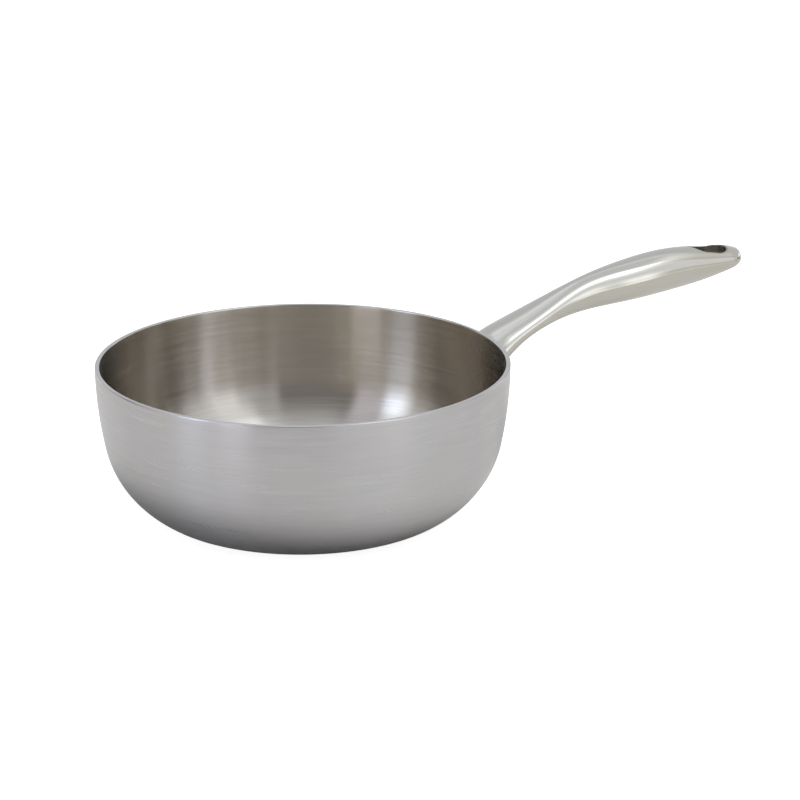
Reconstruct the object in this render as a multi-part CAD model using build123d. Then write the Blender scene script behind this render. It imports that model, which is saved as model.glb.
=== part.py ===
from build123d import *

import math
import os

# A saucier pan in millimetres. The origin is the centre of the flat base, on the surface that the
# pan stands on. The handle points along +X and +Z is up.

# The bowl is one clad sheet, drawn from three bonded plies.
mouth_diameter = 240.0
skin_thickness = 0.4
core_thickness = 2.0
rim_rounding = 0.8

# The outside of the bowl runs down from the rim in three tangent arcs. Each angle is how far the
# wall has turned from upright towards flat at the end of its arc, in degrees.
side_radius = 250.0
side_angle = 11.0
shoulder_radius = 60.0
shoulder_angle = 58.0
base_corner_radius = 28.0
flat_angle = 90.0

# The hollow handle is two pressed shells, welded along the seam and polished flush.
handle_reach = 196.5
handle_rise = 33.4
grip_depth = 26.7
grip_width = 30.4
shell_thickness = 1.5
tip_rounding = 13.0

# The handle's side view and plan at stations along its reach. A station is a share of the reach
# from the wall, crests are heights above the rim as shares of the rise, and depths and widths are
# shares of the grip's. The first row is inside the wall and is trimmed off.
station_shares = (-0.06, 0.0, 0.10, 0.22, 0.38, 0.55, 0.72, 0.88)
crest_shares = (-0.54, -0.190, 0.101, 0.360, 0.696, 0.900, 0.998, 0.935)
depth_shares = (1.145, 1.012, 0.675, 0.589, 0.791, 0.969, 0.992, 0.738)
width_shares = (1.409, 1.304, 1.070, 0.865, 0.705, 0.963, 0.987, 0.964)
tip_crest_share = 0.858
tip_depth_share = 0.425
tip_width_share = 0.931
tip_angles = (0.0, 30.0, 52.0, 68.0, 79.0, 86.0)
tip_bluntness = 0.32

# The hanging hole is a drop with its point towards the bowl, drawn round three circles. A welded
# tube lines it.
hole_width = 19.2
hole_length = 26.9
hole_shoulder_radius = 8.3
hole_shoulder_step = 7.8
hole_point_radius = 1.5
hole_setback = 11.0
liner_thickness = 1.2

# Inside the root, a plate shaped to the wall is plug welded to it, and the shells stand on it.
foot_thickness = 2.0
plug_diameter = 5.0
plug_spacing_across = 17.0
plug_spacing_up = 9.0
bead_leg = 1.4
bead_slope_share = 0.8

# Tools that cut run past what they cut by this much.
overrun = 5.0

wall_thickness = 2 * skin_thickness + core_thickness
rim_radius = mouth_diameter / 2 + wall_thickness
tip_end = rim_radius + handle_reach


def turned(radius, angle):
    """The way inwards and the way down from an arc's centre to where the wall has turned so far."""
    turn = math.radians(angle)
    return Vector(radius * math.cos(turn), 0, -radius * math.sin(turn))


arc_radii = (side_radius, shoulder_radius, base_corner_radius)
arc_angles = ((0.0, side_angle), (side_angle, shoulder_angle), (shoulder_angle, flat_angle))

# The rim's height follows from the three arcs, because the last one ends on the table at zero.
rim_height = sum(
    (turned(radius, start) - turned(radius, end)).Z
    for radius, (start, end) in zip(arc_radii, arc_angles)
)


def arc_centres():
    """The centres of the bowl's three arcs, each tangent to the one before it."""
    centres = [Vector(rim_radius - side_radius, 0, rim_height)]
    for i in range(1, len(arc_radii)):
        step = turned(arc_radii[i - 1] - arc_radii[i], arc_angles[i][0])
        centres.append(centres[-1] + step)
    return centres


def wall_edges(inset):
    """The bowl's outline from the rim down to the edge of the flat base, inset from the outside."""
    edges = []
    for centre, radius, (start, end) in zip(arc_centres(), arc_radii, arc_angles):
        angles = (start, (start + end) / 2, end)
        points = [centre + turned(radius - inset, angle) for angle in angles]
        edges.append(ThreePointArc(*points))
    return edges


def bowl_face(inset):
    """Half of the upright section of everything inside the bowl's outline at one inset."""
    wall = wall_edges(inset)
    base_edge = wall[-1] @ 1
    base_centre = Vector(0, 0, base_edge.Z)
    rim_centre = Vector(0, 0, rim_height)
    axis_lines = [Line(base_edge, base_centre), Line(base_centre, rim_centre)]
    return make_face(wall + axis_lines + [Line(rim_centre, wall[0] @ 0)])


def rim_face():
    """The section of the whole wall, with both of the rim's edges rounded."""
    section = bowl_face(0) - bowl_face(wall_thickness)
    corners = section.vertices().sort_by(Axis.Z)[-2:]
    return fillet(corners, rim_rounding)


def ply(outer_inset, inner_inset):
    """One sheet of the clad wall, between two insets from the outside."""
    band = bowl_face(outer_inset) - bowl_face(inner_inset)
    return revolve(band & rim_face(), Axis.Z)


def bowl_envelope(inset):
    """The bowl with its hollow filled, which trims whatever stands on the wall."""
    return revolve(bowl_face(inset), Axis.Z)


def handle_section(x, crest, depth, width):
    """An upright elliptical section of the handle, as a face square to the X axis."""
    centre = Vector(x, 0, rim_height + crest - depth / 2)
    return Plane(origin=centre, x_dir=(0, 0, -1), z_dir=(1, 0, 0)) * Ellipse(depth / 2, width / 2)


def handle_form(inset):
    """The handle's outer form, or with an inset the hollow inside its shells.

    The rounded tip ends in a flat too small to see, where the seam can be cut cleanly.
    """
    sections = []
    for station, crest, depth, width in zip(station_shares, crest_shares, depth_shares, width_shares):
        sections.append(
            handle_section(
                rim_radius + station * handle_reach,
                crest * handle_rise - inset,
                depth * grip_depth - 2 * inset,
                width * grip_width - 2 * inset,
            )
        )
    for angle in tip_angles:
        turn = math.radians(angle)
        reach = handle_reach - tip_rounding + (tip_rounding - inset) * math.sin(turn)
        cap = math.cos(turn)
        middle, depth, width = tip_sizes(reach)
        depth = (depth - 2 * inset) * cap**tip_bluntness
        width = (width - 2 * inset) * cap
        sections.append(handle_section(rim_radius + reach, middle + depth / 2, depth, width))
    return loft(sections)


def tip_sizes(reach):
    """The middle height, depth and width between the last station and the tip, before rounding."""
    part = (reach / handle_reach - station_shares[-1]) / (1 - station_shares[-1])
    crest = handle_rise * (crest_shares[-1] + part * (tip_crest_share - crest_shares[-1]))
    depth = grip_depth * (depth_shares[-1] + part * (tip_depth_share - depth_shares[-1]))
    width = grip_width * (width_shares[-1] + part * (tip_width_share - width_shares[-1]))
    return crest - depth / 2, depth, width


def seam_points():
    """The mid line of the handle, where its two shells meet."""
    points = []
    for station, crest, depth in zip(station_shares, crest_shares, depth_shares):
        middle = rim_height + crest * handle_rise - depth * grip_depth / 2
        points.append(Vector(rim_radius + station * handle_reach, 0, middle))
    middle = rim_height + tip_sizes(handle_reach)[0]
    points.append(Vector(tip_end, 0, middle))
    return points


def below_seam():
    """Everything under the seam, as a block whose top follows the seam along the handle."""
    points = seam_points()
    seam = Spline(*points)
    floor = -overrun
    past_tip = Vector(tip_end + overrun, 0, points[-1].Z)
    outline = [
        seam,
        Line(points[-1], past_tip),
        Line(past_tip, Vector(past_tip.X, 0, floor)),
        Line(Vector(past_tip.X, 0, floor), Vector(points[0].X, 0, floor)),
        Line(Vector(points[0].X, 0, floor), points[0]),
    ]
    return extrude(make_face(outline), amount=grip_width, both=True)


def drop_prism(margin):
    """The hanging hole's upright prism, grown by a margin all round."""
    end_radius = hole_width / 2
    end_x = tip_end - hole_setback - end_radius
    point_x = tip_end - hole_setback - hole_length + hole_point_radius
    round_end = Pos(end_x, 0) * Circle(end_radius + margin)
    shoulder = Pos(end_x - hole_shoulder_step, 0) * Circle(hole_shoulder_radius + margin)
    point = Pos(point_x, 0) * Circle(hole_point_radius + margin)
    outline = make_hull(round_end.edges() + shoulder.edges() + point.edges())
    return extrude(outline, amount=rim_height + handle_rise + overrun)


def plugs():
    """The four plug welds of the foot, as bars along X."""
    root_crest, root_depth = crest_shares[1] * handle_rise, depth_shares[1] * grip_depth
    middle = rim_height + root_crest - root_depth / 2
    length = wall_thickness + foot_thickness + overrun
    bars = []
    for side in (-1, 1):
        for level in (-1, 1):
            across, up = side * plug_spacing_across / 2, level * plug_spacing_up / 2
            start = Vector(mouth_diameter / 2, across, middle + up)
            plane = Plane(origin=start, x_dir=(0, 1, 0), z_dir=(1, 0, 0))
            bars.append(extrude(plane * Circle(plug_diameter / 2), amount=length))
    return bars


def root_bead(bowl, outside):
    """The weld fillet round the handle's root, sloped between its legs on handle and wall."""
    ring = (handle_form(-bead_leg) & bowl_envelope(-bead_leg)) - bowl - outside
    outer_edges = ring.edges().sort_by(SortBy.LENGTH)[-2:]
    return chamfer(outer_edges.sort_by(Axis.X)[-1], bead_slope_share * bead_leg)


def write(node, shape):
    """Writes one piece under its name."""
    shape.label = node
    export_step(shape, f"parts/{node}.step")


def main():
    os.makedirs("parts", exist_ok=True)

    write("outer_skin", ply(0, skin_thickness))
    write("aluminium_core", ply(skin_thickness, skin_thickness + core_thickness))
    write("inner_skin", ply(skin_thickness + core_thickness, wall_thickness))

    bowl = bowl_envelope(0)
    outside = handle_form(0)
    hollow = handle_form(shell_thickness)
    shells = outside - hollow - bowl - drop_prism(liner_thickness)
    lower_side = below_seam()
    write("handle_lower_shell", shells & lower_side)
    write("handle_upper_shell", shells - lower_side)

    liner = (outside & drop_prism(liner_thickness)) - drop_prism(0)
    write("hanging_hole_liner", liner)

    foot = (hollow & bowl_envelope(-foot_thickness)) - bowl
    bars = plugs()
    write("foot_plug_welds", Compound(children=[foot & bar for bar in bars]))
    write("handle_foot_plate", foot - bars)

    write("root_weld_bead", root_bead(bowl, outside))


main()
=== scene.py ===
import math

import bmesh
import bpy
import numpy as np
from mathutils import Matrix, Vector


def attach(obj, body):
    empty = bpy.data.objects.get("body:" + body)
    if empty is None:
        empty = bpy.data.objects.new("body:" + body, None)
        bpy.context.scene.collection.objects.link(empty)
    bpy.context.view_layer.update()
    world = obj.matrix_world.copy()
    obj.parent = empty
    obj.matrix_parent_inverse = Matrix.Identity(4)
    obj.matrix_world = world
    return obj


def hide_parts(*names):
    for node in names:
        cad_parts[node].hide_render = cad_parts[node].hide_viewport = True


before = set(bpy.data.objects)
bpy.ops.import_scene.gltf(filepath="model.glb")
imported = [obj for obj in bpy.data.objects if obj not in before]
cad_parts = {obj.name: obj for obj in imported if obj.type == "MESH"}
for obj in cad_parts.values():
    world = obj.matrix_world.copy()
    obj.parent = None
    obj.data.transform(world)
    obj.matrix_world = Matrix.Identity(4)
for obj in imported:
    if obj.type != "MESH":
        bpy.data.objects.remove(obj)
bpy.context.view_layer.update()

# A saucier pan: a bowl of clad steel with a hollow steel handle welded to it. The origin is the
# centre of the flat base, on the table. X runs out along the handle and Z is up.
MM = 0.001

# The bowl is one clad wall of three plies. Its outside follows three tangent arcs, which turn from
# upright at the rim to flat at the base. The angles, in degrees, are where the arcs start and end.
RIM_RADIUS = 122.8 * MM
SKIN = 0.4 * MM
CORE = 2.0 * MM
WALL = SKIN + CORE + SKIN
RIM_ROUNDING = 0.8 * MM
ARC_RADII = (250.0 * MM, 60.0 * MM, 28.0 * MM)
ARC_ANGLES = (0.0, 11.0, 58.0, 90.0)

# How finely the bowl is divided: round it, down its arcs, across the flat base and over the rim.
BOWL_RING = 224
ARC_STEPS = (10, 22, 14)
BASE_STEPS = 10
RIM_STEPS = 10

# The handle at stations along its reach past the wall. A station is a share of the reach, a crest
# is its height above the rim as a share of the rise, and depths and widths are shares of the grip's.
HANDLE_REACH = 196.5 * MM
HANDLE_RISE = 33.4 * MM
GRIP_DEPTH = 26.7 * MM
GRIP_WIDTH = 30.4 * MM
STATION_SHARES = (-0.06, 0.0, 0.10, 0.22, 0.38, 0.55, 0.72, 0.88, 0.934, 1.0)
CREST_SHARES = (-0.54, -0.190, 0.101, 0.360, 0.696, 0.900, 0.998, 0.935, 0.900, 0.858)
DEPTH_SHARES = (1.145, 1.012, 0.675, 0.589, 0.791, 0.969, 0.992, 0.738, 0.597, 0.425)
WIDTH_SHARES = (1.409, 1.304, 1.070, 0.865, 0.705, 0.963, 0.987, 0.964, 0.949, 0.931)
TIP_ROUNDING = 13.0 * MM
TIP_BLUNTNESS = 0.32

# How finely the handle is divided: half round it, along it with the rows bunched towards the root,
# round the tip, and in to the hanging hole with the rows bunched at the handle's outline.
HALF_RING = 32
HANDLE_ROWS = 84
ROOT_BUNCHING = 1.25
TIP_RAYS = 100
RAY_STEPS = 20
OUTLINE_BUNCHING = 4

# The hanging hole is a drop drawn round three circles, each with its reach and its radius. Its
# liner is a tube with rounded lips. From the room's reach on, the grip is divided by rays from the
# hole's middle.
HOLE_CIRCLES = (
    (160.1 * MM, 1.5 * MM),
    (168.1 * MM, 8.3 * MM),
    (175.9 * MM, 9.6 * MM),
)
HOLE_MIDDLE_REACH = 172.0 * MM
HOLE_ROOM_REACH = 150.0 * MM
LINER = 1.2 * MM
LIP_ROUNDING = 0.6 * MM
LIP_STEPS = 8

# The fillet weld at the handle's root. Its face is a hollow curve, pulled in to a point that lies
# this share of both legs out of the corner. The handle and the weld are sunk into the wall, so that
# no gap shows.
WELD_LEG = 1.4 * MM
WELD_PULL_SHARE = 0.12
WELD_STEPS = 6
WELD_SECTIONS = 128
SUNK = 0.6 * MM

# Where two surfaces meet is found by halving a gap this often, in ranges that hold the meeting.
HALVINGS = 44
ROOT_RANGE = (-11.0 * MM, 9.0 * MM)
RAY_RANGE = (0.0, 40.0 * MM)

# An edge sharper than this stays sharp. A shallower one is shaded smooth.
SHARP_EDGE = math.radians(38)


def linear(code):
    """An sRGB hex colour as linear red, green, blue and full alpha."""
    channels = [int(code[i:i + 2], 16) / 255 for i in (1, 3, 5)]
    return [c / 12.92 if c <= 0.04045 else ((c + 0.055) / 1.055) ** 2.4 for c in channels] + [1.0]


def add(owner, kind, settings=None, links=None):
    """Adds a node with its settings, and joins the outputs of earlier nodes to its inputs."""
    node = owner.node_tree.nodes.new("ShaderNode" + kind)
    for name, value in (settings or {}).items():
        if isinstance(name, int) or name in node.inputs:
            node.inputs[name].default_value = value
        else:
            setattr(node, name, value)
    for name, output in (links or {}).items():
        owner.node_tree.links.new(output, node.inputs[name])
    return node


def empty_material(name):
    """A material without any node."""
    material = bpy.data.materials.new(name)
    material.use_nodes = True
    material.node_tree.nodes.clear()
    return material


def make_piece(name, points, faces, material, replaced):
    """A smooth closed piece that rides on the pan and stands for the named nodes."""
    mesh = bpy.data.meshes.new(name)
    mesh.from_pydata([tuple(point) for point in points], [], faces)
    shell = bmesh.new()
    shell.from_mesh(mesh)
    bmesh.ops.recalc_face_normals(shell, faces=shell.faces)
    shell.to_mesh(mesh)
    shell.free()
    mesh.shade_smooth()
    mesh.set_sharp_from_angle(angle=SHARP_EDGE)
    mesh.materials.append(material)
    piece = bpy.data.objects.new(name, mesh)
    bpy.context.scene.collection.objects.link(piece)
    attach(piece, "root")
    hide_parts(*replaced)


def new_loop(points, count):
    """The numbers that the next points of a piece will have."""
    return range(len(points), len(points) + count)


def skinned(loops):
    """Faces that join each closed loop of point numbers to the loop after it."""
    faces = []
    for one, other in zip(loops, loops[1:]):
        for i in range(len(one)):
            j = (i + 1) % len(one)
            faces.append((one[i], one[j], other[j], other[i]))
    return faces


def first_place(span, holds):
    """The place in a range where a test starts to hold."""
    before, after = span
    for _ in range(HALVINGS):
        middle = (before + after) / 2
        if holds(middle):
            after = middle
        else:
            before = middle
    return after


def rim_height():
    """The height that the three arcs add up to, from the table to the rim."""
    heights = [
        radius * (math.sin(math.radians(end)) - math.sin(math.radians(start)))
        for radius, start, end in zip(ARC_RADII, ARC_ANGLES, ARC_ANGLES[1:])
    ]
    return sum(heights)


RIM_HEIGHT = rim_height()


def arc_centres():
    """The centres of the bowl's arcs as radius and height, each tangent to the one above it."""
    centres = [(RIM_RADIUS - ARC_RADII[0], RIM_HEIGHT)]
    for larger, smaller, angle in zip(ARC_RADII, ARC_RADII[1:], ARC_ANGLES[1:]):
        across, up = centres[-1]
        turn = math.radians(angle)
        step = larger - smaller
        centres.append((across + step * math.cos(turn), up - step * math.sin(turn)))
    return centres


def wall_line(inset, rim_gap):
    """The upright section of one surface of the wall, from under the rim down to the axis."""
    line = []
    for (across, up), radius, start, end, steps in zip(
        arc_centres(), ARC_RADII, ARC_ANGLES, ARC_ANGLES[1:], ARC_STEPS
    ):
        first = math.radians(start) if line else math.asin(rim_gap / (radius - inset))
        last = math.radians(end)
        for i in range(1 if line else 0, steps + 1):
            turn = first + (last - first) * i / steps
            line.append((
                across + (radius - inset) * math.cos(turn),
                up - (radius - inset) * math.sin(turn),
            ))
    base_radius, base_height = line[-1]
    for i in range(1, BASE_STEPS + 1):
        line.append((base_radius * (1 - i / BASE_STEPS), base_height))
    return line


def rim_drop(inset):
    """How far the rounded rim lies under its top at one inset from the outside."""
    edge = min(inset, WALL - inset)
    if edge >= RIM_ROUNDING:
        return 0.0
    return RIM_ROUNDING - math.sqrt(RIM_ROUNDING ** 2 - (RIM_ROUNDING - edge) ** 2)


def ply_section(outer, inner):
    """The section of one ply: up its outer surface, over the rim and down its inner surface."""
    up = wall_line(outer, rim_drop(outer))[::-1]
    down = wall_line(inner, rim_drop(inner))
    top = []
    for i in range(1, RIM_STEPS):
        inset = outer + (inner - outer) * (1 - math.cos(math.pi * i / RIM_STEPS)) / 2
        top.append((RIM_RADIUS - inset, RIM_HEIGHT - rim_drop(inset)))
    return up + top + down


def spun(section):
    """Points and faces of a section turned round the Z axis. Its two ends lie on the axis."""
    points, loops = [(0.0, 0.0, section[0][1])], []
    for radius, height in section[1:-1]:
        loops.append(new_loop(points, BOWL_RING))
        for i in range(BOWL_RING):
            turn = 2 * math.pi * i / BOWL_RING
            points.append((radius * math.cos(turn), radius * math.sin(turn), height))
    points.append((0.0, 0.0, section[-1][1]))
    faces = skinned(loops)
    for i in range(BOWL_RING):
        j = (i + 1) % BOWL_RING
        faces.append((0, loops[0][j], loops[0][i]))
        faces.append((loops[-1][i], loops[-1][j], len(points) - 1))
    return points, faces


def build_bowl():
    """The clad wall's three plies, each spun from its own section."""
    plies = (
        ("bowl_outer_skin", 0.0, SKIN, brushed_outside(), "outer_skin_steel", "outer_skin"),
        ("bowl_core", SKIN, SKIN + CORE, turned_core(), "core_aluminium", "aluminium_core"),
        ("bowl_inner_skin", SKIN + CORE, WALL, brushed_inside(), "inner_skin_steel", "inner_skin"),
    )
    for name, outer, inner, material, slot, node in plies:
        points, faces = spun(ply_section(outer, inner))
        make_piece(name, points, faces, material, (node,))


def spline_bends(places, values):
    """Second differences of the natural cubic spline through the values."""
    places, values = np.array(places), np.array(values)
    gaps, count = np.diff(places), len(places)
    table, right = np.eye(count), np.zeros(count)
    for i in range(1, count - 1):
        table[i, i - 1:i + 2] = gaps[i - 1], 2 * (gaps[i - 1] + gaps[i]), gaps[i]
        slopes = np.diff(values[i - 1:i + 2]) / gaps[i - 1:i + 1]
        right[i] = 6 * (slopes[1] - slopes[0])
    return np.linalg.solve(table, right)


HANDLE_SPLINES = [
    (shares, spline_bends(STATION_SHARES, shares))
    for shares in (CREST_SHARES, DEPTH_SHARES, WIDTH_SHARES)
]


def share_at(place, shares, bends):
    """The spline's value at one place along the handle."""
    i = min(max(int(np.searchsorted(STATION_SHARES, place)) - 1, 0), len(STATION_SHARES) - 2)
    start, end = STATION_SHARES[i:i + 2]
    gap = end - start
    after, before = (end - place) / gap, (place - start) / gap
    bend = (after ** 3 - after) * bends[i] + (before ** 3 - before) * bends[i + 1]
    return after * shares[i] + before * shares[i + 1] + bend * gap ** 2 / 6


def handle_sizes(reach):
    """The height of the handle's mid line and half its depth and width at a reach past the wall."""
    place = reach / HANDLE_REACH
    crest, depth, width = (share_at(place, shares, bends) for shares, bends in HANDLE_SPLINES)
    half_depth, half_width = depth * GRIP_DEPTH / 2, width * GRIP_WIDTH / 2
    middle = RIM_HEIGHT + crest * HANDLE_RISE - half_depth
    past = (reach - HANDLE_REACH + TIP_ROUNDING) / TIP_ROUNDING
    if past > 0:
        cap = math.sqrt(max(1 - past ** 2, 0.0))
        half_depth, half_width = half_depth * cap ** TIP_BLUNTNESS, half_width * cap
    return middle, half_depth, half_width


def handle_point(reach, turn, growth=0.0):
    """A point on the handle's surface. The turn goes round the section from its top."""
    middle, half_depth, half_width = handle_sizes(reach)
    return Vector((
        RIM_RADIUS + reach,
        (half_width + growth) * math.sin(turn),
        middle + (half_depth + growth) * math.cos(turn),
    ))


def depth_in_wall(point, inset):
    """How far a point near the rim lies inside the wall's outer surface, less an inset."""
    across, up = arc_centres()[0]
    radius = math.hypot(math.hypot(point[0], point[1]) - across, point[2] - up)
    return ARC_RADII[0] - inset - radius


def root_reach(turn, growth=0.0, inset=0.0):
    """The reach at which the handle's surface, or one grown from it, comes out of the wall."""
    return first_place(
        ROOT_RANGE, lambda reach: depth_in_wall(handle_point(reach, turn, growth), inset) <= 0,
    )


def hole_distance(reach, side):
    """The distance outwards from the hanging hole's outline, negative inside the hole."""
    side = abs(side)
    distances = []
    for (point, small), (end, large) in zip(HOLE_CIRCLES, HOLE_CIRCLES[1:]):
        lean = (large - small) / (end - point)
        flank = math.sqrt(1 - lean ** 2)
        along = flank * (end - reach) - lean * side
        if along < 0:
            distances.append(math.hypot(end - reach, side) - large)
        elif along > flank * (end - point):
            distances.append(math.hypot(reach - point, side) - small)
        else:
            distances.append(flank * side + lean * (end - reach) - large)
    return min(distances)


def grip_point(reach, side, upper):
    """A point of the handle's upper or lower surface over its plan, with the hole's rounded lip."""
    height, half_depth, half_width = handle_sizes(reach)
    if half_width > 0:
        rise = half_depth * math.sqrt(max(1 - (side / half_width) ** 2, 0.0))
        inside_lip = min(max(LIP_ROUNDING - hole_distance(reach, side), 0.0), LIP_ROUNDING)
        rise -= LIP_ROUNDING - math.sqrt(LIP_ROUNDING ** 2 - inside_lip ** 2)
        height += rise if upper else -rise
    return Vector((RIM_RADIUS + reach, side, height))


def along_ray(direction, stops):
    """The place in the plan where a ray from the hole's middle first meets a test."""
    ahead, across = direction
    far = first_place(RAY_RANGE, lambda far: stops(HOLE_MIDDLE_REACH + far * ahead, far * across))
    return HOLE_MIDDLE_REACH + far * ahead, far * across


def hole_edge(direction, margin):
    """The place in the plan where a ray crosses the hole's outline, grown by a margin."""
    return along_ray(direction, lambda reach, side: hole_distance(reach, side) > margin)


def outside_plan(reach, side):
    """Whether a place in the plan lies past the handle's outline."""
    return reach >= HANDLE_REACH or abs(side) >= handle_sizes(reach)[2]


def plan_rays():
    """Rays in the plan from the hole's middle, first across the grip where the hole's room starts
    and then round the tip. Each has its direction, its end, and how near that is to the outline."""
    half_width = handle_sizes(HOLE_ROOM_REACH)[2]
    rays = []
    for i in range(HALF_RING + 1):
        side = half_width * math.sin(math.pi * (i / HALF_RING - 0.5))
        way = Vector((HOLE_ROOM_REACH - HOLE_MIDDLE_REACH, side)).normalized()
        rays.append((way, (HOLE_ROOM_REACH, side), abs(side) / half_width))
    corner = math.atan2(half_width, HOLE_ROOM_REACH - HOLE_MIDDLE_REACH)
    for i in range(1, TIP_RAYS):
        turn = corner * (1 - 2 * i / TIP_RAYS)
        way = Vector((math.cos(turn), math.sin(turn)))
        rays.append((way, along_ray(way, outside_plan), 1.0))
    return rays


RAYS = plan_rays()


def ray_share(part, nearness):
    """How far along a ray a row lies. Rows bunch where the surface turns over at the outline."""
    eased = 1 - math.cos(part * math.pi / 2)
    return part + (eased - part) * nearness ** OUTLINE_BUNCHING


def build_handle(material):
    """Both shells as the one polished skin that they show, from inside the wall to the tip."""
    ring = 2 * HALF_RING
    turns = [math.pi * (i / HALF_RING - 0.5) for i in range(ring)]
    starts = [root_reach(turn, 0.0, SUNK) for turn in turns]
    points, rings = [], []
    for row in range(HANDLE_ROWS + 1):
        part = (row / HANDLE_ROWS) ** ROOT_BUNCHING
        rings.append(new_loop(points, ring))
        for turn, start in zip(turns, starts):
            points.append(handle_point(start + (HOLE_ROOM_REACH - start) * part, turn))
    faces = skinned(rings)
    root_middle = len(points)
    points.append(sum(points[:ring], Vector()) / ring)
    faces += [((i + 1) % ring, i, root_middle) for i in range(ring)]

    # The grip's end is a sheet over the plan and one under it, which share the handle's outline.
    outline = list(rings[-1][:HALF_RING + 1])
    for _, (reach, side), _ in RAYS[HALF_RING + 1:]:
        outline.append(len(points))
        points.append(Vector((RIM_RADIUS + reach, side, handle_sizes(reach)[0])))
    under_outline = list(outline)
    under_outline[1:HALF_RING] = [rings[-1][-i] for i in range(1, HALF_RING)]
    liner_edge = [hole_edge(direction, LINER) for direction, _, _ in RAYS]
    hole_edges = []
    for upper, border in ((True, outline), (False, under_outline)):
        rows = [border]
        for step in range(1, RAY_STEPS + 1):
            rows.append(new_loop(points, len(RAYS)))
            for (_, start, nearness), end in zip(RAYS, liner_edge):
                share = ray_share(step / RAY_STEPS, nearness)
                reach, side = (a + (b - a) * share for a, b in zip(start, end))
                points.append(grip_point(reach, side, upper))
        faces += skinned(rows[::-1] if upper else rows)
        hole_edges.append(rows[-1])
    faces += skinned(hole_edges)
    make_piece(
        "handle", points, faces, material,
        ("handle_upper_shell", "handle_lower_shell"),
    )


def build_liner(material):
    """The tube in the hanging hole, with its lips rolled over into its wall."""
    margins = [LINER * (1 - math.sin(math.pi / 2 * i / LIP_STEPS)) for i in range(LIP_STEPS + 1)]
    points, sections = [], []
    for direction, _, _ in RAYS:
        places = [hole_edge(direction, margin) for margin in margins]
        sections.append(new_loop(points, 2 * len(places)))
        points += [grip_point(reach, side, True) for reach, side in places]
        points += [grip_point(reach, side, False) for reach, side in places[::-1]]
    faces = skinned(sections + sections[:1])
    make_piece("hole_liner", points, faces, material, ("hanging_hole_liner",))


def build_root_weld(material):
    """The fillet weld, hollow between its leg on the wall and its leg on the handle."""
    points, sections = [], []
    for i in range(WELD_SECTIONS):
        turn = 2 * math.pi * i / WELD_SECTIONS
        corner = handle_point(root_reach(turn), turn)
        on_wall = handle_point(root_reach(turn, WELD_LEG), turn, WELD_LEG)
        on_handle = handle_point(root_reach(turn) + WELD_LEG, turn)
        pull = corner + (on_wall + on_handle - 2 * corner) * WELD_PULL_SHARE
        sections.append(new_loop(points, WELD_STEPS + 2))
        for step in range(WELD_STEPS + 1):
            t = step / WELD_STEPS
            points.append((1 - t) ** 2 * on_wall + 2 * t * (1 - t) * pull + t ** 2 * on_handle)
        points.append(handle_point(root_reach(turn, -SUNK, SUNK), turn, -SUNK))
    faces = skinned(sections + sections[:1])
    make_piece("root_weld", points, faces, material, ("root_weld_bead",))


def give_material(node, material):
    """Dresses one of the frame's own solids, whose shape stays as it is."""
    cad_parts[node].data.materials.clear()
    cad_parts[node].data.materials.append(material)


# A brush line on the bowl and a ring on its core are 0.07 mm wide, and a mark of the mop, the die or
# the rolls is 0.08 mm wide. That is too fine to show from this far, so the lines and marks are drawn
# ten times as wide and the core's rings five times. All other sizes are real ones: the lengths, the
# welds' waves and ripples, and the streaks, patches and clouds that an uneven finish leaves.
DRAWN_WIDER = 10
LINE_WIDTH, LINE_LENGTH = 0.07 * MM * DRAWN_WIDER, 26.0 * MM
STREAK_WIDTH, STREAK_LENGTH = 3.2 * MM, 60.0 * MM
BOWL_PATCH = 38.0 * MM
MARK_WIDTH = 0.08 * MM * DRAWN_WIDER
MOP_LENGTH, MOP_CLOUDS = 30.0 * MM, (26.0 * MM, 12.0 * MM, 12.0 * MM)
DIE_LENGTH, TUBE_CLOUDS = 9.0 * MM, (6.0 * MM,) * 3
ROLL_LENGTH, PLATE_CLOUDS = 1.2 * MM, (8.0 * MM,) * 3
DRESSED_WAVES, DRESSED_CLOUDS = (1.6 * MM,) * 3, (5.0 * MM,) * 3
RAW_RIPPLES, RAW_TINT = (0.9 * MM,) * 3, (2.5 * MM,) * 3

# How much of each finer layer a noise keeps, and the range that its values mostly stay in.
NOISE_ROUGHNESS = 0.6
NOISE_RANGE = {"From Min": 0.3, "From Max": 0.7}

# A quarter of a turn lays what the bowl mirrors across its brush lines.
QUARTER_TURN = 0.25


def bowl_marks(material, width, length, detail):
    """Noise drawn out round the bowl: marks of one length round it and one width down its wall."""
    place = add(material, "TexCoord").outputs["Object"]
    level = add(material, "VectorMath", {"operation": "MULTIPLY", 1: (1.0, 1.0, 0.0)}, {0: place})
    level = level.outputs["Vector"]
    reach = add(material, "VectorMath", {"operation": "LENGTH"}, {0: level}).outputs["Value"]
    around = add(material, "VectorMath", {"operation": "NORMALIZE"}, {0: level}).outputs["Vector"]
    height = add(material, "SeparateXYZ", links={"Vector": place}).outputs["Z"]
    down = add(material, "Math", {"operation": "ADD"}, {0: reach, 1: height}).outputs[0]
    rows = add(material, "Math", {"operation": "DIVIDE", 1: width}, {0: down}).outputs[0]
    upright = add(material, "CombineXYZ", links={"Z": rows}).outputs["Vector"]
    turns = RIM_RADIUS / length
    marks = add(
        material, "VectorMath", {"operation": "MULTIPLY_ADD", 1: (turns, turns, turns)},
        {0: around, 2: upright},
    )
    noise = add(
        material, "TexNoise", {"Scale": 1.0, "Detail": detail, "Roughness": NOISE_ROUGHNESS},
        {"Vector": marks.outputs["Vector"]},
    )
    return noise.outputs["Fac"]


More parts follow.
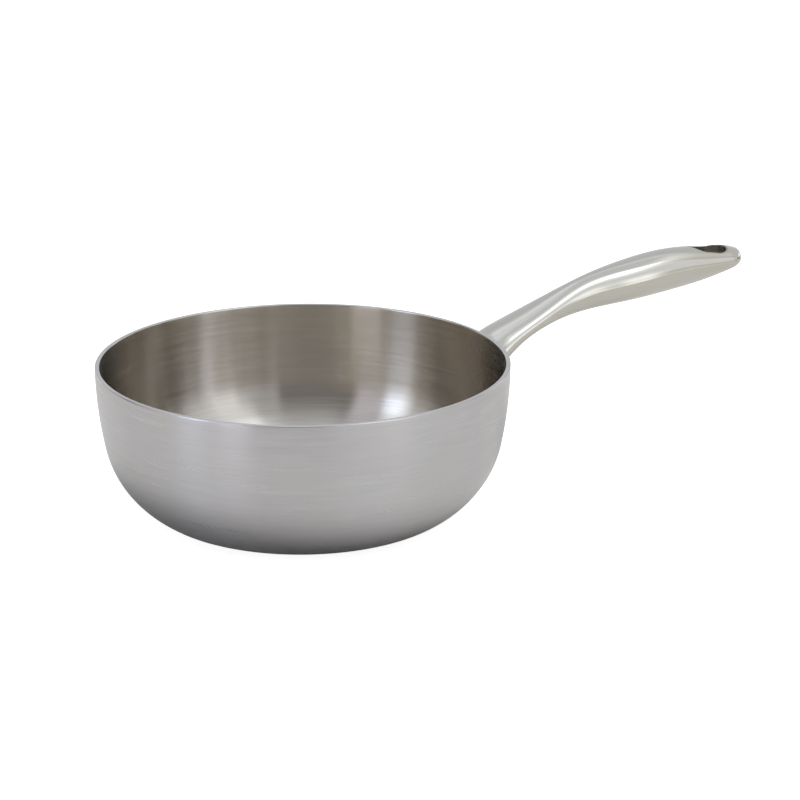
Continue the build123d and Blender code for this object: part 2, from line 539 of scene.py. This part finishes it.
def straight_marks(material, sizes, detail):
    """Noise whose marks have one size along each of the three axes."""
    place = add(material, "TexCoord").outputs["Object"]
    scale = [1 / size for size in sizes]
    marks = add(material, "VectorMath", {"operation": "MULTIPLY", 1: scale}, {0: place})
    noise = add(
        material, "TexNoise", {"Scale": 1.0, "Detail": detail, "Roughness": NOISE_ROUGHNESS},
        {"Vector": marks.outputs["Vector"]},
    )
    return noise.outputs["Fac"]


def tinted(material, marks, most, tone, tint):
    """A tone that takes on a tint where the marks are, up to the most given as a share. The tone is
    a hex colour or what this gave before."""
    settings = {**NOISE_RANGE, "To Min": 0.0, "To Max": most}
    share = add(material, "MapRange", settings, {"Value": marks}).outputs["Result"]
    settings, links = {"data_type": "RGBA", 7: linear(tint)}, {0: share}
    if isinstance(tone, str):
        settings[6] = linear(tone)
    else:
        links[6] = tone
    return add(material, "Mix", settings, links).outputs[2]


def finish_metal(material, colour, polish, grain, grain_depth, anisotropy=0.0):
    """Joins a metal's colour, its polish and its raised grain to its shader. The polish is marks
    with the roughness where they are least and most. Anisotropy is for brush lines round the bowl."""
    marks, least, most = polish
    settings = {**NOISE_RANGE, "To Min": least, "To Max": most}
    roughness = add(material, "MapRange", settings, {"Value": marks}).outputs["Result"]
    bump = add(material, "Bump", {"Strength": 1.0, "Distance": grain_depth}, {"Height": grain})
    settings = {"Metallic": 1.0}
    links = {"Base Color": colour, "Roughness": roughness, "Normal": bump.outputs["Normal"]}
    if anisotropy:
        settings.update({"Anisotropic": anisotropy, "Anisotropic Rotation": QUARTER_TURN})
        round_axis = add(material, "Tangent", {"direction_type": "RADIAL", "axis": "Z"})
        links["Tangent"] = round_axis.outputs["Tangent"]
    shader = add(material, "BsdfPrincipled", settings, links)
    add(material, "OutputMaterial", links={"Surface": shader.outputs["BSDF"]})
    return material


def brushed_outside():
    """Stainless steel brushed round the bowl with a belt: satin, with soft streaks of uneven grey."""
    material = empty_material("brushed_stainless_outside")
    lines = bowl_marks(material, LINE_WIDTH, LINE_LENGTH, 1.0)
    streaks = bowl_marks(material, STREAK_WIDTH, STREAK_LENGTH, 2.0)
    patches = straight_marks(material, (BOWL_PATCH, BOWL_PATCH, BOWL_PATCH / 2), 1.0)
    colour = tinted(material, lines, 1.0, "#cac7c7", "#d1cece")
    colour = tinted(material, streaks, 0.3, colour, "#c4c1c1")
    colour = tinted(material, patches, 0.3, colour, "#cfc8c0")
    return finish_metal(material, colour, (streaks, 0.27, 0.33), streaks, 0.004 * MM, 0.9)


def brushed_inside():
    """Stainless steel brushed round the bowl and buffed: it mirrors the lights as upright bands."""
    material = empty_material("brushed_stainless_inside")
    lines = bowl_marks(material, LINE_WIDTH, LINE_LENGTH * 2, 1.0)
    streaks = bowl_marks(material, STREAK_WIDTH, STREAK_LENGTH, 2.0)
    patches = straight_marks(material, (BOWL_PATCH, BOWL_PATCH, BOWL_PATCH), 1.0)
    colour = tinted(material, lines, 1.0, "#c4beb4", "#cdc7be")
    colour = tinted(material, patches, 0.3, colour, "#c2b9aa")
    return finish_metal(material, colour, (streaks, 0.19, 0.23), lines, 0.003 * MM, 1.0)


def turned_core():
    """Aluminium cut square at the rim in a lathe: paler than the steel, with fine rings."""
    material = empty_material("turned_aluminium_core")
    rings = bowl_marks(material, LINE_WIDTH / 2, STREAK_LENGTH, 2.0)
    patches = straight_marks(material, (BOWL_PATCH, BOWL_PATCH, BOWL_PATCH), 1.0)
    colour = tinted(material, rings, 1.0, "#c8c5c2", "#d6d3d0")
    colour = tinted(material, patches, 0.4, colour, "#c4c0ba")
    return finish_metal(material, colour, (rings, 0.28, 0.4), rings, 0.004 * MM)


def satin_handle():
    """Stainless steel mopped along the grip: smooth, softly glossy, with faint marks lengthwise."""
    material = empty_material("satin_polished_stainless")
    marks = straight_marks(material, (MOP_LENGTH, MARK_WIDTH, MARK_WIDTH), 2.0)
    clouds = straight_marks(material, MOP_CLOUDS, 2.0)
    colour = tinted(material, marks, 1.0, "#ccc8be", "#d2cec4")
    colour = tinted(material, clouds, 0.5, colour, "#cbc5b7")
    return finish_metal(material, colour, (clouds, 0.12, 0.15), marks, 0.0012 * MM)


def drawn_liner():
    """Stainless tube as drawn: a duller skin than the grip's, with marks along its short length."""
    material = empty_material("drawn_stainless_tube")
    marks = straight_marks(material, (MARK_WIDTH, MARK_WIDTH, DIE_LENGTH), 2.0)
    clouds = straight_marks(material, TUBE_CLOUDS, 2.0)
    colour = tinted(material, marks, 1.0, "#a8a39d", "#bcb7b1")
    colour = tinted(material, clouds, 0.4, colour, "#a0978b")
    return finish_metal(material, colour, (clouds, 0.24, 0.34), marks, 0.003 * MM)


def dressed_weld():
    """Stainless weld metal ground and mopped: a little warmer than the steel, with fine waves."""
    material = empty_material("dressed_stainless_weld")
    waves = straight_marks(material, DRESSED_WAVES, 2.0)
    clouds = straight_marks(material, DRESSED_CLOUDS, 2.0)
    colour = tinted(material, waves, 1.0, "#bdb8b1", "#cbc6c0")
    colour = tinted(material, clouds, 0.4, colour, "#b9ab97")
    return finish_metal(material, colour, (clouds, 0.2, 0.3), waves, 0.01 * MM)


def rolled_plate():
    """Stainless sheet as it comes from the rolls: matt and pale grey, with a fine short grain."""
    material = empty_material("rolled_stainless_plate")
    grain = straight_marks(material, (MARK_WIDTH, MARK_WIDTH, ROLL_LENGTH), 4.0)
    clouds = straight_marks(material, PLATE_CLOUDS, 2.0)
    colour = tinted(material, grain, 1.0, "#a9a7a4", "#b8b6b3")
    colour = tinted(material, clouds, 0.4, colour, "#9f9b95")
    return finish_metal(material, colour, (clouds, 0.42, 0.52), grain, 0.01 * MM)


def raw_weld():
    """Stainless weld metal left as it set: dull, rippled and tinted straw by the heat."""
    material = empty_material("raw_stainless_weld")
    ripples = straight_marks(material, RAW_RIPPLES, 3.0)
    tint = straight_marks(material, RAW_TINT, 2.0)
    colour = tinted(material, ripples, 1.0, "#8f8a84", "#a8a29b")
    colour = tinted(material, tint, 0.7, colour, "#a28a63")
    return finish_metal(material, colour, (tint, 0.34, 0.48), ripples, 0.04 * MM)


# Where the camera stands, seen from the middle of the rim. An azimuth is 0 along the handle and
# counts anticlockwise from above. The focal length and the place where the middle of the rim shows
# are in pixels of the square picture, and the sensor's width is in millimetres.
CAMERA_AZIMUTH, CAMERA_ELEVATION = math.radians(-118.0), math.radians(17.2)
CAMERA_DISTANCE = 1.5
CAMERA_ROLL = math.radians(0.623)
CAMERA_CLIP = (0.05, 50.0)
FOCAL = 2532.2
RIM_IN_PICTURE = (303.20, 360.06)
PICTURE = 800
SENSOR = 36.0


def build_camera():
    """The camera, aimed so that the rim and the handle lie where the photograph has them."""
    away = Vector((
        math.cos(CAMERA_AZIMUTH) * math.cos(CAMERA_ELEVATION),
        math.sin(CAMERA_AZIMUTH) * math.cos(CAMERA_ELEVATION),
        math.sin(CAMERA_ELEVATION),
    ))
    right = Vector((0, 0, 1)).cross(away).normalized()
    facing = Matrix((right, away.cross(right), away))
    to_rim = Vector((
        (RIM_IN_PICTURE[0] - PICTURE / 2) / FOCAL,
        -(RIM_IN_PICTURE[1] - PICTURE / 2) / FOCAL,
        -1,
    ))
    lean = Vector((0, 0, -1)).rotation_difference(to_rim).to_matrix()
    turned = (lean @ Matrix.Rotation(CAMERA_ROLL, 3, "Z") @ facing).transposed()
    place = Matrix.Translation(away * CAMERA_DISTANCE + Vector((0, 0, RIM_HEIGHT)))
    data = bpy.data.cameras.new("camera")
    data.sensor_width = SENSOR
    data.lens = FOCAL / PICTURE * SENSOR
    data.clip_start, data.clip_end = CAMERA_CLIP
    camera = bpy.data.objects.new("camera", data)
    bpy.context.scene.collection.objects.link(camera)
    camera.matrix_world = place @ turned.to_4x4()
    bpy.context.scene.camera = camera


# The studio's soft lights, as the pan sees them. Each row has the azimuth and elevation of the
# light's middle, its width and height, and half the widths of its soft edges at the sides and at
# the top and bottom, all in degrees. Then come its brightness, where a white card in full light
# has 1, and its colour. Left and right are the camera's.
SOFT_LIGHTS = (
    (0, 0, 400, 13, 3, 4, 0.30, "#ffeed8"),          # the foot of the room, all round
    (0, 84, 400, 60, 10, 10, 0.72, "#e8f2ff"),       # the ceiling
    (56, 26, 88, 62, 5, 5, 0.60, "#eaf2ff"),         # a big card behind the pan
    (100, 62, 60, 34, 6, 6, 0.25, "#e8f0ff"),        # a faint one over it, to the left
    (112, 14, 30, 24, 3, 6, 0.36, "#fff8e8"),        # a low card behind, to the left
    (131, 42, 24, 18, 6, 6, 0.50, "#ffe0c8"),        # a small warm one above it
    (160, 36, 46, 36, 4, 9, 0.85, "#eef4ff"),        # the large soft box on the left
    (178, 22, 20, 22, 3, 8, 1.25, "#d8e4ff"),        # its bright heart
    (180, 16, 14, 40, 2.5, 8, 1.35, "#d2e2ff"),      # the column for the right band inside
    (-163, 30, 21, 42, 3, 9, 0.78, "#e8ebff"),       # the soft box's nearer wing
    (-155, 3, 17, 16, 2.5, 7, 2.45, "#ecefff"),      # the low lamp for the gleam inside
    (-118, 50, 60, 24, 8, 8, 0.20, "#f0f6ff"),       # faint light over the camera
    (-91, 19, 22, 44, 3, 9, 0.44, "#f0f6ff"),        # a dim card beside the camera
    (-62, 6, 56, 25, 4, 7, 0.42, "#eeffff"),         # a low card in front, to the right
    (-66, 10, 17, 38, 3, 12, 0.74, "#f6f6ff"),       # the column for the left band inside
    (-49, 65, 52, 14, 3, 1.5, 1.60, "#f5faff"),      # the strip that runs along the handle
    (-57, 73, 69, 43, 8, 8, 0.34, "#eaf3ff"),        # the glow round it
    (-55, 36, 50, 40, 5, 9, 0.88, "#eef4ff"),        # the soft box in front, to the right
    (-25, 9, 5, 25, 1.5, 7, 1.05, "#fbffff"),        # the slit for the thin band far left inside
    (-8, 38, 40, 46, 5, 5, 0.56, "#fcfff9"),         # the soft box on the right
    (11, 13, 24, 6, 4, 4, 1.70, "#fbfbff"),          # a low slit of light past the tip
)
ROOM_COLOUR = "#757271"
WHITE = "#ffffff"


def inside_light(world, angle, middle, width, edge):
    """1 where an angle is inside a soft light, easing to 0 across its edge."""
    middle, width, edge = math.radians(middle), math.radians(width), math.radians(edge)
    away = add(world, "Math", {"operation": "SUBTRACT", 1: middle}, {0: angle}).outputs[0]
    turn = {"operation": "WRAP", 1: math.pi, 2: -math.pi}
    away = add(world, "Math", turn, {0: away}).outputs[0]
    away = add(world, "Math", {"operation": "ABSOLUTE"}, {0: away}).outputs[0]
    settings = {
        "interpolation_type": "SMOOTHSTEP",
        "From Min": width / 2 - edge, "From Max": width / 2 + edge,
        "To Min": 1.0, "To Max": 0.0,
    }
    return add(world, "MapRange", settings, {"Value": away}).outputs["Result"]


def build_studio_light():
    """The dim room and its soft lights. The camera sees plain white where it looks past the table."""
    world = bpy.data.worlds.new("studio")
    world.use_nodes = True
    world.node_tree.nodes.clear()
    way = add(world, "TexCoord").outputs["Generated"]
    axes = add(world, "SeparateXYZ", links={"Vector": way}).outputs
    azimuth = add(world, "Math", {"operation": "ARCTAN2"}, {0: axes["Y"], 1: axes["X"]}).outputs[0]
    elevation = add(world, "Math", {"operation": "ARCSINE"}, {0: axes["Z"]}).outputs[0]
    light = None
    for around, up, width, height, side_edge, top_edge, brightness, colour in SOFT_LIGHTS:
        sides = inside_light(world, azimuth, around, width, side_edge)
        ends = inside_light(world, elevation, up, height, top_edge)
        inside = add(world, "Math", {"operation": "MULTIPLY"}, {0: sides, 1: ends}).outputs[0]
        glow = Vector(linear(colour)[:3]) * brightness
        settings, links = {"operation": "MULTIPLY_ADD", 1: glow}, {0: inside}
        if light is None:
            settings[2] = linear(ROOM_COLOUR)[:3]
        else:
            links[2] = light
        light = add(world, "VectorMath", settings, links).outputs["Vector"]
    lit = add(world, "Background", links={"Color": light}).outputs[0]
    plain = add(world, "Background", {"Color": linear(WHITE)}).outputs[0]
    seen = add(world, "LightPath").outputs["Is Camera Ray"]
    mixed = add(world, "MixShader", links={0: seen, 1: lit, 2: plain}).outputs[0]
    add(world, "OutputWorld", links={"Surface": mixed})
    bpy.context.scene.world = world


# The light from above leans by its tilt's first angle from upright, towards the azimuth that is
# the second.
TOP_LIGHT_STRENGTH = 3.25
TOP_LIGHT_SPREAD = math.radians(50.0)
TOP_LIGHT_TILT = (math.radians(18.0), math.radians(-25.0))


def build_top_light():
    """A broad soft light from high on the right, which lights the table and isn't mirrored."""
    data = bpy.data.lights.new("top_light", "SUN")
    data.energy, data.angle = TOP_LIGHT_STRENGTH, TOP_LIGHT_SPREAD
    lamp = bpy.data.objects.new("top_light", data)
    tilt, side = TOP_LIGHT_TILT
    lamp.rotation_euler = (0.0, tilt, side)
    lamp.visible_glossy = False
    lamp.visible_camera = False
    bpy.context.scene.collection.objects.link(lamp)


# Half the table's side, far past what the picture shows. The table lies a hair under the pan's
# base, so that the two flat faces never fight.
TABLE_HALF = 9.0
TABLE_GAP = 0.02 * MM
TABLE_COLOUR = "#adadab"
TABLE_GLOW = 0.9


def build_table():
    """A plain pale laminate table, which the steel mirrors as light grey. To the camera it glows
    as well, which burns it out to white as in the photograph."""
    material = empty_material("pale_laminate_table")
    laminate = add(material, "BsdfDiffuse", {"Color": linear(TABLE_COLOUR)}).outputs[0]
    glow = add(material, "Emission", {"Color": linear(WHITE), "Strength": TABLE_GLOW}).outputs[0]
    burnt_out = add(material, "AddShader", links={0: laminate, 1: glow}).outputs[0]
    seen = add(material, "LightPath").outputs["Is Camera Ray"]
    mixed = add(material, "MixShader", links={0: seen, 1: laminate, 2: burnt_out}).outputs[0]
    add(material, "OutputMaterial", links={"Surface": mixed})
    mesh = bpy.data.meshes.new("table")
    corners = [
        (x * TABLE_HALF, y * TABLE_HALF, -TABLE_GAP) for x, y in ((-1, -1), (1, -1), (1, 1), (-1, 1))
    ]
    mesh.from_pydata(corners, [], [(0, 1, 2, 3)])
    mesh.materials.append(material)
    table = bpy.data.objects.new("table", mesh)
    bpy.context.scene.collection.objects.link(table)


build_bowl()
build_handle(satin_handle())
build_liner(drawn_liner())
build_root_weld(dressed_weld())
give_material("handle_foot_plate", rolled_plate())
give_material("foot_plug_welds", raw_weld())

build_camera()
build_table()
build_top_light()
build_studio_light()
bpy.context.scene.view_settings.view_transform = "Standard"
